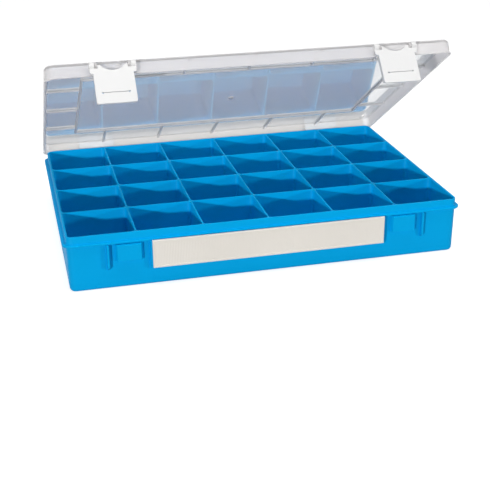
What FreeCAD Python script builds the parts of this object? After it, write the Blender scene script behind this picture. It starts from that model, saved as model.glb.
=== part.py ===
"""Compartment storage box: a tray with moulded-in compartments, a hinged clear lid, two latches and a strap.

Frame: millimetres, origin at the middle of the tray's underside, +X right, +Y to the back, +Z up.
The lid is stored part open, with its latches hanging off its front edge.
"""
import FreeCAD, Part
import math
import os

V = FreeCAD.Vector
X_AXIS = V(1, 0, 0)
Y_AXIS = V(0, 1, 0)
Z_AXIS = V(0, 0, 1)

# Tray
tray_width = 338.0
tray_depth = 226.0
tray_height = 49.0
column_count = 6
row_count = 4
wall_thickness = 1.8
divider_thickness = 1.4
floor_thickness = 1.8
divider_drop = 0.5
wall_draft_deg = 0.6
pocket_draft_deg = 0.8
tray_corner_radius = 6.0
base_edge_radius = 3.0
pocket_corner_radius = 3.5
root_margin = 0.4

# Ledge that the lid's skirt comes down on
rim_above_ledge = 6.7
ledge_thickness = 2.0
ledge_bevel = 0.6

# Lid
side_gap = 1.6
front_gap = 0.6
skirt_thickness = 1.6
skirt_seat_gap = 0.4
lid_rise = 5.2
panel_thickness = 1.8
lid_edge_radius = 1.4
lip_reach = 0.6
lip_height = 1.4
bead_width = 2.4
bead_height = 0.7
bead_inset = 1.2
rib_thickness = 2.0
rib_depth = 1.6
frame_rib_side_inset = 31.0
frame_rib_front_inset = 34.0
frame_rib_rear_inset = 43.0
gate_radius = 2.6
gate_height = 0.5
slot_length = 12.0
slot_width = 3.2
slot_end_flat = 0.2
slot_from_right = 10.2
slot_from_rear = 15.4
lid_open_deg = 33.0

# Pivot lugs on the lid's front and rear skirts
clip_from_end = 50.2
pivot_drop = 4.2
pin_radius = 1.3
pin_clearance = 0.05
pin_end_wall = 1.2
pin_end_clearance = 0.3
lug_radius = 2.2
lug_thickness = 2.0

# Latch clips
ear_radius = 2.9
ear_length = 4.0
clip_width = 37.0
ear_drop = 7.4
clip_shoulder = 2.5
flap_tab = 8.9
clip_plate = 1.8
scoop_depth = 5.0
flange_depth = 2.4
flange_thickness = 1.2
flap_corner_radius = 1.6
slit_length = 21.0
slit_width = 0.8
slit_dot_radius = 0.85
hook_width = 17.0
hook_reach = 2.6
hook_height = 5.0
hook_tip = 0.8
hook_clearance = 0.3
flap_clearance = 0.6
lug_clearance = 0.3
latch_open_deg = 8.8

# Latch catches and guide ribs on the tray's front
catch_width = 19.5
catch_side_slope = 2.7
catch_height = 14.7
catch_top_slope = 0.8
catch_proud = 4.2
guide_rib_thickness = 1.8
guide_rib_length = 24.0
guide_rib_proud = 4.2
guide_clearance = 0.5

# Handle strap, its sliding feet and their keepers on the tray's front
strap_from_clip = 18.8
strap_height = 24.2
strap_thickness = 2.0
strap_above_keeper = 1.4
strap_corner_radius = 1.2
strap_border = 1.5
strap_border_height = 0.4
strap_gap = 0.2
shoe_travel = 9.5
keeper_proud = 3.6
keeper_end_margin = 2.0
keeper_height = 24.0
keeper_lip = 1.2
keeper_track_depth = 2.2
keeper_lip_overlap = 1.2
shoe_stem_length = 8.0
shoe_stem_height = 11.0
shoe_clearance = 0.3
track_from_top = 2.6

# Rear hinge bars
hinge_standoff = 5.1
hinge_drop = 10.5
hinge_bar_radius = 1.5
barrel_radius = 2.7
barrel_length = 23.4
barrel_mouth = 2.4
leaf_lug_gap = 1.7
hinge_lug_thickness = 3.0
hinge_lug_gusset = 6.0

# How far welded features sink into what carries them, and how far cuts run past a face
weld = 0.2
overrun = 1.0
level_tolerance = 1e-4

# Derived places
half_depth = tray_depth / 2
clip_offset = tray_width / 2 - clip_from_end
strap_length = 2 * (clip_offset - strap_from_clip)
lid_width = tray_width + 2 * (side_gap + skirt_thickness)
lid_depth = tray_depth + 2 * (front_gap + skirt_thickness)
lid_top = tray_height + lid_rise
panel_under = lid_top - panel_thickness
ledge_top = tray_height - rim_above_ledge
skirt_bottom = ledge_top + skirt_seat_gap
lid_corner_radius = tray_corner_radius + front_gap + skirt_thickness
column_pitch = (tray_width - 2 * wall_thickness + divider_thickness) / column_count
row_pitch = (tray_depth - 2 * wall_thickness + divider_thickness) / row_count
lug_spacing = clip_width - 2 * (ear_length + lug_clearance) - lug_thickness
flap_width = clip_width - 2 * clip_shoulder
pivot_y = lid_depth / 2 + ear_radius + lug_clearance
pivot_z = lid_top - pivot_drop
ledge_bottom = ledge_top - ledge_thickness
hinge_y = half_depth + hinge_standoff
hinge_height = pivot_z - hinge_drop
leaf_head_low = hinge_height + barrel_radius + leaf_lug_gap
wall_root = half_depth - wall_thickness + root_margin
catch_front = half_depth + catch_proud
keeper_front = half_depth + keeper_proud
strap_back = keeper_front + strap_gap
strap_top = ledge_bottom + strap_above_keeper
catch_bottom = ledge_bottom - catch_height
hook_top = catch_bottom - hook_clearance - pivot_z
plate_inner = catch_front + flap_clearance - pivot_y
plate_outer = plate_inner + clip_plate
bore_half = clip_width / 2 - pin_end_wall
pin_half = bore_half - pin_end_clearance
ear_reach = 2 * ear_radius


def middle_columns():
    """X of every divider that runs front to back."""
    return [(i - column_count / 2) * column_pitch for i in range(1, column_count)]


def middle_rows():
    """Y of every divider that runs left to right."""
    return [(i - row_count / 2) * row_pitch for i in range(1, row_count)]


def rounded_wire(width, depth, radius, height):
    """Level outline of a rectangle with round corners, centred on the Z axis."""
    arcs = []
    for quarter, (sign_x, sign_y) in enumerate(((1, 1), (-1, 1), (-1, -1), (1, -1))):
        centre = V(sign_x * (width / 2 - radius), sign_y * (depth / 2 - radius), height)
        arcs.append(Part.makeCircle(radius, centre, Z_AXIS, 90 * quarter, 90 * quarter + 90))
    edges = []
    for quarter, arc in enumerate(arcs):
        following = arcs[(quarter + 1) % len(arcs)]
        edges.append(arc)
        edges.append(Part.makeLine(arc.lastVertex().Point, following.firstVertex().Point))
    return Part.Wire(edges)


def rounded_block(width, depth, radius, low, high):
    """Upright block with round vertical edges."""
    return Part.Face(rounded_wire(width, depth, radius, low)).extrude(V(0, 0, high - low))


def level_edges(shape, height):
    """Edges of the shape that lie wholly at one height."""
    found = []
    for edge in shape.Edges:
        bounds = edge.BoundBox
        if max(abs(bounds.ZMin - height), abs(bounds.ZMax - height)) < level_tolerance:
            found.append(edge)
    return found


def upright_edges(shape):
    """Edges of the shape that rise from one height to another."""
    return [edge for edge in shape.Edges if edge.BoundBox.ZLength > level_tolerance]


def drafted_block(width, depth, low, high, draft_deg):
    """Block with the given size at the top, whose four flat sides lean in towards the bottom."""
    inset = (high - low) * math.tan(math.radians(draft_deg))
    top_x = width / 2
    top_y = depth / 2
    foot_x = top_x - inset
    foot_y = top_y - inset
    block = Part.makeWedge(-foot_x, low, -foot_y, -top_y, -top_x, foot_x, high, foot_y, top_y, top_x)
    block.rotate(V(0, 0, 0), X_AXIS, 90)
    return block


def eased_corners(block, radius):
    """The block with each upright corner turned into three equal flats that touch the given radius."""
    half_turn = math.tan(math.radians(45 / 2))
    quarter_turn = math.tan(math.radians(45 / 4))
    block = block.makeChamfer(radius * (1 - half_turn), upright_edges(block))
    return block.makeChamfer(radius * (half_turn - quarter_turn), upright_edges(block))


def profile_prism(points, x_low, x_high):
    """Prism along X over a closed outline of (y, z) points."""
    outline = Part.makePolygon([V(x_low, y, z) for y, z in points + points[:1]])
    return Part.Face(outline).extrude(V(x_high - x_low, 0, 0))


def upright_plate(corners, y_low, y_high):
    """Plate between two Y planes over a closed outline of (x, z, corner radius)."""
    count = len(corners)
    edges = []
    ends = []
    for i, (x, z, radius) in enumerate(corners):
        here = V(x, y_low, z)
        back = V(corners[i - 1][0], y_low, corners[i - 1][1]) - here
        ahead = V(corners[(i + 1) % count][0], y_low, corners[(i + 1) % count][1]) - here
        back.normalize()
        ahead.normalize()
        half_angle = back.getAngle(ahead) / 2
        start = here + back * (radius / math.tan(half_angle))
        finish = here + ahead * (radius / math.tan(half_angle))
        if radius > 0:
            inward = (back + ahead).normalize()
            deepest = here + inward * (radius / math.sin(half_angle) - radius)
            edges.append(Part.Arc(start, deepest, finish).toShape())
        ends.append((start, finish))
    for i in range(count):
        edges.append(Part.makeLine(ends[i - 1][1], ends[i][0]))
    outline = Part.Wire(Part.__sortEdges__(edges))
    return Part.Face(outline).extrude(V(0, y_high - y_low, 0))


def rod(radius, x_low, x_high, y, z):
    """Round bar along X."""
    return Part.makeCylinder(radius, x_high - x_low, V(x_low, y, z), X_AXIS)


def box(x_low, x_high, y_low, y_high, z_low, z_high):
    """Plain box between two corners."""
    return Part.makeBox(x_high - x_low, y_high - y_low, z_high - z_low, V(x_low, y_low, z_low))


def mirrored_x(shape):
    """Copy of the shape on the other side of the middle plane."""
    return shape.mirror(V(0, 0, 0), X_AXIS)


def both_sides(shape):
    """The shape and its mirror copy."""
    return [shape, mirrored_x(shape)]


# Tray

def compartments():
    """The drafted, round-cornered space of every compartment."""
    width = column_pitch - divider_thickness
    depth = row_pitch - divider_thickness
    spread = 2 * overrun * math.tan(math.radians(pocket_draft_deg))
    pocket = drafted_block(width + spread, depth + spread, floor_thickness, tray_height + overrun, pocket_draft_deg)
    pocket = eased_corners(pocket, pocket_corner_radius)
    spaces = []
    for column in range(column_count):
        for row in range(row_count):
            x = (column - (column_count - 1) / 2) * column_pitch
            y = (row - (row_count - 1) / 2) * row_pitch
            spaces.append(pocket.translated(V(x, y, 0)))
    return spaces


def catch():
    """Raised catch plate of the right latch, with sloped sides and a square lower edge for the hook."""
    foot_half = catch_width / 2 + catch_side_slope
    face_half = catch_width / 2

    def outline(half, y, top):
        corners = [(-half, catch_bottom), (half, catch_bottom), (half, top), (-half, top)]
        points = [V(clip_offset + x, -y, z) for x, z in corners]
        return Part.makePolygon(points + points[:1])

    foot = outline(foot_half, wall_root, ledge_bottom)
    face = outline(face_half, catch_front, ledge_bottom - catch_top_slope)
    return Part.makeLoft([foot, face], True, True)


def guide_rib():
    """Upright rib on the outer side of the right latch's flap, with a sloped lower end."""
    x = clip_offset + flap_width / 2 + guide_clearance
    low = ledge_bottom - guide_rib_length
    front = half_depth + guide_rib_proud
    points = [(-wall_root, ledge_bottom), (-front, ledge_bottom), (-front, low + guide_rib_proud),
              (-wall_root, low)]
    return profile_prism(points, x, x + guide_rib_thickness)


def track_span():
    """Ends of the right keeper's track along X: where the foot's stem can be."""
    outer = strap_length / 2 - keeper_end_margin
    inner = outer - shoe_stem_length - shoe_travel
    return inner - shoe_clearance, outer + shoe_clearance


def track_middle():
    """Height of the middle of the strap's tracks."""
    return ledge_bottom - track_from_top - keeper_lip_overlap - shoe_stem_height / 2


def keeper():
    """Raised block under the strap's right end."""
    inner, outer = track_span()
    return box(inner - keeper_end_margin - keeper_lip_overlap, outer + keeper_end_margin + keeper_lip_overlap,
               -keeper_front, -wall_root, ledge_bottom - keeper_height, ledge_bottom)


def keeper_track():
    """T-shaped track in the right keeper: a window in front and a wider space behind it."""
    inner, outer = track_span()
    middle = track_middle()
    half = shoe_stem_height / 2 + shoe_clearance
    behind = keeper_front - keeper_lip
    window = box(inner, outer, -keeper_front - overrun, -behind + weld, middle - half, middle + half)
    space = box(inner - keeper_lip_overlap, outer + keeper_lip_overlap, -behind, -behind + keeper_track_depth,
                middle - half - keeper_lip_overlap, middle + half + keeper_lip_overlap)
    return window.fuse(space)


def hinge_bar():
    """Right rear hinge bar, held between two gusseted lugs that pass under the lid's skirt."""
    half = barrel_length / 2 + lug_clearance
    round_end = barrel_radius
    skirt_back = lid_depth / 2 + lip_reach + lug_clearance
    lugs = []
    for low in (clip_offset - half - hinge_lug_thickness, clip_offset + half):
        points = [(wall_root, hinge_height), (skirt_back, hinge_height), (hinge_y, hinge_height + round_end),
                  (hinge_y, hinge_height - round_end), (wall_root, hinge_height - round_end - hinge_lug_gusset)]
        lug = profile_prism(points, low, low + hinge_lug_thickness)
        lugs.append(lug.fuse(rod(round_end, low, low + hinge_lug_thickness, hinge_y, hinge_height)))
    end = half + hinge_lug_thickness / 2
    bar = rod(hinge_bar_radius, clip_offset - end, clip_offset + end, hinge_y, hinge_height)
    return bar.fuse(lugs)


def tray():
    """The tray moulding."""
    shell = drafted_block(tray_width, tray_depth, 0, tray_height, wall_draft_deg)
    shell = shell.makeFillet(tray_corner_radius, upright_edges(shell))
    shell = shell.makeFillet(base_edge_radius, level_edges(shell, 0))
    ledge = rounded_block(lid_width, lid_depth, lid_corner_radius, ledge_bottom, ledge_top)
    ledge = ledge.makeChamfer(ledge_bevel, level_edges(ledge, ledge_bottom) + level_edges(ledge, ledge_top))
    added = [ledge]
    for feature in (catch(), guide_rib(), keeper(), hinge_bar()):
        added += both_sides(feature)
    rim_cut = drafted_block(tray_width - 2 * wall_thickness, tray_depth - 2 * wall_thickness,
                            tray_height - divider_drop, tray_height + overrun, 0)
    rim_cut = eased_corners(rim_cut, pocket_corner_radius)
    solid = shell.fuse(added)
    solid = solid.cut(compartments() + [rim_cut] + both_sides(keeper_track()))
    return solid.removeSplitter()


# Lid, built closed and then opened about the hinge bars

def opened(shape, pivot_turn_deg=0.0):
    """The shape swung open with the lid, after turning a front latch outwards about its own pivot."""
    turned = shape.copy()
    turned.rotate(V(0, -pivot_y, pivot_z), X_AXIS, -pivot_turn_deg)
    turned.rotate(V(0, hinge_y, hinge_height), X_AXIS, -lid_open_deg)
    return turned


def pivot_lugs(side):
    """Lugs with outward stub pins for the right clip on the front (side -1) or rear (side 1) skirt."""
    shapes = []
    root = lid_depth / 2 - skirt_thickness / 2
    for hand in (-1, 1):
        middle = clip_offset + hand * lug_spacing / 2
        low = middle - lug_thickness / 2
        points = [(side * root, pivot_z + lug_radius), (side * pivot_y, pivot_z + lug_radius),
                  (side * pivot_y, pivot_z - lug_radius), (side * root, pivot_z - lug_radius)]
        lug = profile_prism(points, low, low + lug_thickness)
        end = clip_offset + hand * pin_half
        pin = rod(pin_radius, min(middle, end), max(middle, end), side * pivot_y, pivot_z)
        shapes += [lug, rod(lug_radius, low, low + lug_thickness, side * pivot_y, pivot_z), pin]
    return shapes


def lid_ribs():
    """Low ribs under the panel: a rectangle, and short ribs from it to the skirt beside each divider."""
    low = panel_under - rib_depth
    right = lid_width / 2 - frame_rib_side_inset
    front = -lid_depth / 2 + frame_rib_front_inset
    rear = lid_depth / 2 - frame_rib_rear_inset
    half = rib_thickness / 2
    top = panel_under + weld
    edge_x = lid_width / 2 - skirt_thickness / 2
    edge_y = lid_depth / 2 - skirt_thickness / 2
    ribs = []
    for y in (front, rear):
        ribs.append(box(-right - half, right + half, y - half, y + half, low, top))
    for x in (-right, right):
        ribs.append(box(x - half, x + half, front, rear, low, top))
    for x in middle_columns():
        ribs.append(box(x - half, x + half, -edge_y, front, low, top))
        ribs.append(box(x - half, x + half, rear, edge_y, low, top))
    for y in middle_rows():
        ribs += both_sides(box(right, edge_x, y - half, y + half, low, top))
    return ribs


def lid():
    """The lid moulding, closed."""
    shell = rounded_block(lid_width, lid_depth, lid_corner_radius, skirt_bottom, lid_top)
    shell = shell.makeFillet(lid_edge_radius, level_edges(shell, lid_top))
    lip = rounded_block(lid_width + 2 * lip_reach, lid_depth + 2 * lip_reach, lid_corner_radius + lip_reach,
                        skirt_bottom, skirt_bottom + lip_height)
    bead = rounded_block(lid_width - 2 * bead_inset, lid_depth - 2 * bead_inset, lid_corner_radius - bead_inset,
                         lid_top - weld, lid_top + bead_height)
    inside = bead_inset + bead_width
    bead = bead.cut(rounded_block(lid_width - 2 * inside, lid_depth - 2 * inside, lid_corner_radius - inside,
                                  lid_top - overrun, lid_top + bead_height + overrun))
    added = [lip, bead]
    for side in (-1, 1):
        for shape in pivot_lugs(side):
            added += both_sides(shape)
    solid = shell.fuse(added)
    hollow = rounded_block(lid_width - 2 * skirt_thickness, lid_depth - 2 * skirt_thickness,
                           lid_corner_radius - skirt_thickness, skirt_bottom - overrun, panel_under)
    solid = solid.cut(hollow)
    gate = Part.makeCylinder(gate_radius, gate_height + weld, V(0, 0, panel_under - gate_height))
    solid = solid.fuse(lid_ribs() + [gate])
    slot_x = lid_width / 2 - slot_from_right
    slot_y = lid_depth / 2 - slot_from_rear
    slot_corner_radius = (slot_width - slot_end_flat) / 2
    slot = rounded_block(slot_width, slot_length, slot_corner_radius, panel_under - overrun, lid_top + overrun)
    slot.translate(V(slot_x, slot_y, 0))
    return solid.cut(slot).removeSplitter()


# Clips

def ear_rods(side, radius, reach):
    """Rods on the right clip's pivot line, from inside each ear out to a reach from the clip's middle."""
    inner = lug_spacing / 2 + lug_thickness / 2 + lug_clearance
    return [rod(radius, clip_offset + low, clip_offset + high, side * pivot_y, pivot_z)
            for low, high in ((-reach, -inner), (inner, reach))]


def clip_ears(side):
    """Both ears of the right clip, solid."""
    return ear_rods(side, ear_radius, clip_width / 2)


def pin_bores(side):
    """Blind bores of the right clip's ears."""
    return ear_rods(side, pin_radius + pin_clearance, bore_half)


def lug_slots(side):
    """Slots in the right clip's plate that its pivot lugs stand in."""
    half = lug_thickness / 2 + lug_clearance
    slots = []
    for hand in (-1, 1):
        middle = clip_offset + hand * lug_spacing / 2
        slots.append(box(middle - half, middle + half, side * pivot_y - ear_reach, side * pivot_y + ear_reach,
                         pivot_z - ear_radius, pivot_z + ear_reach))
    return slots


def scoop(side, depth):
    """Round hollow in the top edge of the right clip's plate, between its ears."""
    half = lug_spacing / 2 - lug_thickness / 2 - lug_clearance
    rise = ear_radius + depth
    radius = (half * half + rise * rise) / (2 * rise)
    low = pivot_z + ear_radius - rise
    start = V(clip_offset, side * pivot_y - ear_reach, low + radius)
    return Part.makeCylinder(radius, 2 * ear_reach, start, Y_AXIS)


def latch():
    """Right front latch clip, closed."""
    shoulder = pivot_z - ear_drop
    hook_z = pivot_z + hook_top
    bottom = hook_z - flap_tab
    y_inner = -pivot_y - plate_inner
    y_outer = -pivot_y - plate_outer
    half = flap_width / 2
    wide = clip_width / 2
    outline = [(-wide, pivot_z, 0), (wide, pivot_z, 0), (wide, shoulder, flap_corner_radius), (half, shoulder, 0),
               (half, bottom, flap_corner_radius), (-half, bottom, flap_corner_radius), (-half, shoulder, 0),
               (-wide, shoulder, flap_corner_radius)]
    plate = upright_plate([(clip_offset + x, z, radius) for x, z, radius in outline], y_outer, y_inner)
    wings = []
    for x in (clip_offset - half, clip_offset + half - flange_thickness):
        wings.append(box(x, x + flange_thickness, y_inner - weld, y_inner + flange_depth,
                         bottom + flap_corner_radius, shoulder))
    tip = y_inner + hook_reach
    hook = profile_prism([(y_inner - weld, hook_z), (tip, hook_z), (tip, hook_z - hook_tip),
                          (y_inner - weld, hook_z - hook_height)],
                         clip_offset - hook_width / 2, clip_offset + hook_width / 2)
    slit_z = hook_z + slit_width / 2
    slit_from = y_outer - overrun
    slit = box(clip_offset - slit_length / 2, clip_offset + slit_length / 2, slit_from, y_inner + overrun,
               slit_z - slit_width / 2, slit_z + slit_width / 2)
    openings = [slit, scoop(-1, scoop_depth)] + pin_bores(-1) + lug_slots(-1)
    for x in (clip_offset - slit_length / 2, clip_offset + slit_length / 2):
        openings.append(Part.makeCylinder(slit_dot_radius, clip_plate + 2 * overrun, V(x, slit_from, slit_z), Y_AXIS))
    solid = plate.fuse(wings + clip_ears(-1)).cut(openings)
    return solid.fuse(hook).removeSplitter()


def hinge_leaf():
    """Right rear hinge clip, closed: ears on the lid's pins and a snap barrel on the tray's bar."""
    half = barrel_length / 2
    wide = clip_width / 2
    y_low = pivot_y - clip_plate / 2
    y_high = pivot_y + clip_plate / 2
    head = box(clip_offset - wide, clip_offset + wide, y_low, y_high, leaf_head_low, pivot_z)
    reach = math.hypot(hinge_y - pivot_y, pivot_z - hinge_height)
    lean = math.degrees(math.atan2(hinge_y - pivot_y, pivot_z - hinge_height))
    plate = box(clip_offset - half, clip_offset + half, y_low, y_high, pivot_z - reach, pivot_z)
    plate.rotate(V(0, pivot_y, pivot_z), X_AXIS, lean)
    barrel = rod(barrel_radius, clip_offset - half, clip_offset + half, hinge_y, hinge_height)
    bore = rod(hinge_bar_radius + pin_clearance, clip_offset - half, clip_offset + half, hinge_y, hinge_height)
    mouth = box(clip_offset - half, clip_offset + half, hinge_y - barrel_mouth / 2, hinge_y + barrel_mouth / 2,
                hinge_height - 2 * barrel_radius, hinge_height)
    solid = barrel.fuse([head, plate] + clip_ears(1))
    return solid.cut([bore, mouth, scoop(1, ear_radius)] + pin_bores(1) + lug_slots(1)).removeSplitter()


# Handle

def strap_plate(inset, y_low, y_high):
    """Upright plate of the strap's outline, drawn in by an inset."""
    end = strap_length / 2 - inset
    low = strap_top - strap_height + inset
    high = strap_top - inset
    corners = [(-end, low), (end, low), (end, high), (-end, high)]
    return upright_plate([(x, z, strap_corner_radius) for x, z in corners], y_low, y_high)


def handle_strap():
    """The strap, lying flat along the front, with a raised border around its grip face."""
    front = -strap_back - strap_thickness
    plate = strap_plate(0, front - strap_border_height, -strap_back)
    return plate.cut(strap_plate(strap_border, front - overrun, front))


def handle_shoe():
    """Right foot of the strap: a stem through the keeper's window and a head behind its lips."""
    outer = strap_length / 2 - keeper_end_margin
    inner = outer - shoe_stem_length
    middle = track_middle()
    half = shoe_stem_height / 2
    lip_back = keeper_front - keeper_lip - shoe_clearance
    head_back = keeper_front - keeper_lip - keeper_track_depth + shoe_clearance
    grip = keeper_lip_overlap - shoe_clearance
    stem = box(inner, outer, -strap_back, -lip_back, middle - half, middle + half)
    head = box(inner - grip, outer + grip, -lip_back, -head_back, middle - half - grip, middle + half + grip)
    return stem.fuse(head).removeSplitter()


def build():
    """All pieces by node name, in the stored pose."""
    right_latch = opened(latch(), latch_open_deg)
    right_leaf = opened(hinge_leaf())
    right_shoe = handle_shoe()
    return {
        "tray": tray(),
        "lid": opened(lid()),
        "latch_right": right_latch,
        "latch_left": mirrored_x(right_latch),
        "hinge_leaf_right": right_leaf,
        "hinge_leaf_left": mirrored_x(right_leaf),
        "handle_strap": handle_strap(),
        "handle_shoe_right": right_shoe,
        "handle_shoe_left": mirrored_x(right_shoe),
    }


os.makedirs("parts", exist_ok=True)
for node, shape in build().items():
    shape.exportStep("parts/" + node + ".step")
    print(node, "solids", len(shape.Solids), "valid", shape.isValid(), "volume", round(shape.Volume, 1))
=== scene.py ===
"""Looks of a compartment case: a blue tray, a clear hinged lid, white clips and a strap handle."""

import logging
import math
from dataclasses import dataclass, field
from enum import Enum, IntEnum

import bmesh
import bpy
import numpy as np
from bpy.types import ID, Material, Mesh, Node, NodeSocket, Object, World
from mathutils import Matrix, Vector
from numpy.typing import NDArray


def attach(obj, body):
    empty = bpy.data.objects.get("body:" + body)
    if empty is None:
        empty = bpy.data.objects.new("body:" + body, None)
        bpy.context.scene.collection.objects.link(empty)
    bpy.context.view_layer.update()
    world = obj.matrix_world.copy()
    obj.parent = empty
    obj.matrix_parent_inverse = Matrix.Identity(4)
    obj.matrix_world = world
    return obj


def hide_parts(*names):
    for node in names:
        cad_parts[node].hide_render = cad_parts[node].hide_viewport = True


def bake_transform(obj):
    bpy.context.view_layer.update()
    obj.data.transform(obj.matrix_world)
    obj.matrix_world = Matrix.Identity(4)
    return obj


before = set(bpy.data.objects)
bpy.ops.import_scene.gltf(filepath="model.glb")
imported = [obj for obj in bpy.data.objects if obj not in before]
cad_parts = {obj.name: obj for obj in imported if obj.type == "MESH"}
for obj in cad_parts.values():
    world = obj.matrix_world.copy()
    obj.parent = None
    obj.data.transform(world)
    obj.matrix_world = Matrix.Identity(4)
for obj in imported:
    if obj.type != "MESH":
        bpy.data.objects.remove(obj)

Array = NDArray[np.float64]
Pair = tuple[float, float]
Triple = tuple[float, float, float]
Values = tuple[float, ...]
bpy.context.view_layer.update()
MM = 0.001
WELD_MM = 1e-3
BEVEL_SEGMENTS = 2
CREASE_DEG = 30.0
DIRECTION_DIGITS = 12
STATION_DIGITS = 6
CLOUD_STOPS = (0.3, 0.7)
log = logging.getLogger("case")


class Side(Enum):
    """The case's left and right hand, as the sign of X."""

    LEFT = -1
    RIGHT = 1

    @property
    def word(self) -> str:
        """The side's name as the pieces and bodies have it."""
        return self.name.lower()


class Slot(Enum):
    """Material slots of the record."""

    TRAY = "tray"
    LID = "lid"
    CLIP = "clip"
    STRAP = "strap"


class LidFinish(IntEnum):
    """Places of the lid shell's finishes in its list of materials; the rear one is painted shade.
    """

    PANEL = 0
    SKIRT = 1
    RIB = 2
    # The rear finish is the skirt's plastic made darker and warmer: painted shade on the rear
    # skirt.
    REAR = 3


@dataclass
class Shell:
    """Grids and flat faces, in millimetres, that are welded into one closed mesh."""

    points: list[Array] = field(default_factory=list)
    faces: list[list[int]] = field(default_factory=list)
    finishes: list[int] = field(default_factory=list)
    count: int = 0

    def _add(self, points: Array) -> NDArray[np.int64]:
        """Keeps the points of a grid, and returns their numbers in the grid's own shape."""
        flat = points.reshape(-1, 3)
        numbers = np.arange(self.count, self.count + len(flat)).reshape(points.shape[:-1])
        self.points.append(flat)
        self.count += len(flat)
        return numbers

    def patch(self, grid: Array, closed: bool = False, keep: NDArray[np.bool_] | None = None,
              finish: NDArray[np.int64] | int = 0) -> None:
        """Adds a quad between each four neighbours of a grid of points.

        Args:
            grid: Points as rows by columns by three.
            closed: Whether the last column joins the first.
            keep: Which quads are made, for a grid with a hole.
            finish: Which of the piece's finishes the quads take, or one for each.
        """
        numbers = self._add(grid)
        if closed:
            numbers = np.concatenate([numbers, numbers[:, :1]], axis=1)
        corners = [numbers[:-1, :-1], numbers[:-1, 1:], numbers[1:, 1:], numbers[1:, :-1]]
        quads = np.stack(corners, axis=-1)
        kinds = np.broadcast_to(finish, quads.shape[:2])
        if keep is not None:
            quads, kinds = quads[keep], kinds[keep]
        self.faces += quads.reshape(-1, 4).tolist()
        self.finishes += kinds.ravel().tolist()

    def cap(self, loop: Array) -> None:
        """Adds one flat face over a closed loop of points."""
        self.faces.append(self._add(loop).tolist())
        self.finishes.append(0)

    def loft(self, loops: Array) -> None:
        """Adds a closed skin over a stack of loops, with a flat face at each end."""
        self.patch(loops, closed=True)
        self.cap(loops[0])
        self.cap(loops[-1])

    def prism(self, outline: Array, x_low: float, x_high: float) -> None:
        """Adds a prism along X: the outline of (y, z) points at x_low and again at x_high."""
        ends = [np.column_stack([np.full(len(outline), x), outline]) for x in (x_low, x_high)]
        self.loft(np.stack(ends))

    def stepped(self, rectangles: list[tuple[Values, float]]) -> None:
        """Adds a loft over upright rectangles in front, each with its depth.

        A rectangle is its lowest and highest X, then its lowest and highest Z.
        """
        loops = [np.column_stack([[x0, x1, x1, x0], np.full(4, -y), [z0, z0, z1, z1]])
                 for (x0, x1, z0, z1), y in rectangles]
        self.loft(np.stack(loops))

    def swing(self, degrees: float, y: float, z: float) -> None:
        """Turns every point about a line along X through (y, z), by the plane rotation formula."""
        cos, sin = math.cos(math.radians(degrees)), math.sin(math.radians(degrees))
        turn = np.array([[1, 0, 0], [0, cos, -sin], [0, sin, cos]])
        centre = np.array([0, y, z])
        self.points = [(points - centre) @ turn.T + centre for points in self.points]

    def take(self, side: Side) -> None:
        """Mirrors points that were worked out for the right hand, if the side is the left."""
        if side is Side.LEFT:
            self.points = [points * np.array([-1, 1, 1]) for points in self.points]

    def make(self, name: str, crease_deg: float = CREASE_DEG) -> Object:
        """Welds the points that share a place, turns the faces outwards and makes the object.

        Args:
            name: The piece's name.
            crease_deg: Edges that turn by more than this stay crisp.

        Returns:
            The object, at the origin, with its place in its mesh.
        """
        points = np.concatenate(self.points)
        places = np.round(points / WELD_MM).astype(np.int64)
        _, first, numbers = np.unique(places, axis=0, return_index=True, return_inverse=True)
        numbers = numbers.ravel()
        faces = [list(dict.fromkeys(numbers[face].tolist())) for face in self.faces]
        made = [(face, finish) for face, finish in zip(faces, self.finishes) if len(face) > 2]
        mesh = bpy.data.meshes.new(name)
        mesh.from_pydata(points[first] * MM, [], [face for face, _ in made])
        mesh.polygons.foreach_set("material_index", [finish for _, finish in made])
        return finished_piece(mesh, name, crease_deg)


def linked(name: str, data: ID) -> Object:
    """Makes an object around a mesh, a lamp or a camera, and links it to the scene."""
    made = bpy.data.objects.new(name, data)
    bpy.context.scene.collection.objects.link(made)
    return made


def finished_piece(mesh: Mesh, name: str, crease_deg: float = CREASE_DEG) -> Object:
    """Turns a mesh's faces outwards, smooths them up to a crease angle and links the object."""
    edit = bmesh.new()
    edit.from_mesh(mesh)
    bmesh.ops.recalc_face_normals(edit, faces=edit.faces)
    edit.to_mesh(mesh)
    edit.free()
    mesh.shade_smooth()
    mesh.set_sharp_from_angle(angle=math.radians(crease_deg))
    return linked(name, mesh)


def soften(piece: Object, width_mm: float, angle_deg: float = CREASE_DEG) -> Object:
    """Rounds a piece's sharp edges by a bevel of the given width, and returns the piece."""
    bevel = piece.modifiers.new("rounded_edges", "BEVEL")
    bevel.width = width_mm * MM
    bevel.segments = BEVEL_SEGMENTS
    bevel.limit_method = "ANGLE"
    bevel.angle_limit = math.radians(angle_deg)
    bevel.harden_normals = True
    return piece


def place(piece: Object, body: str, slot: Slot, *finishes: Material) -> Object:
    """Gives a piece its finishes and the body that it rides on."""
    for finish in finishes:
        piece.data.materials.append(finish)
    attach(piece, body)
    log.info("%s: %d faces, on %s", piece.name, len(piece.data.polygons), body)
    return piece


def quarter(start_deg: float, end_deg: float, steps: int = 4) -> tuple[Array, Array]:
    """Cosines and sines of evenly spaced angles, for a round edge."""
    angles = np.radians(np.linspace(start_deg, end_deg, steps + 1))
    return np.cos(angles), np.sin(angles)


def arc(centre: Pair, radius: float, start_deg: float, end_deg: float, steps: int = 4) -> Array:
    """Points of a circular arc: centre plus radius times the cosine and sine of each angle."""
    cos, sin = quarter(start_deg, end_deg, steps)
    return np.column_stack([centre[0] + radius * cos, centre[1] + radius * sin])


def circle(centre: Pair, radius: float, sides: int) -> Array:
    """Evenly spaced points of a whole circle."""
    return arc(centre, radius, 0, 360 - 360 / sides, sides - 1)


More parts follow.
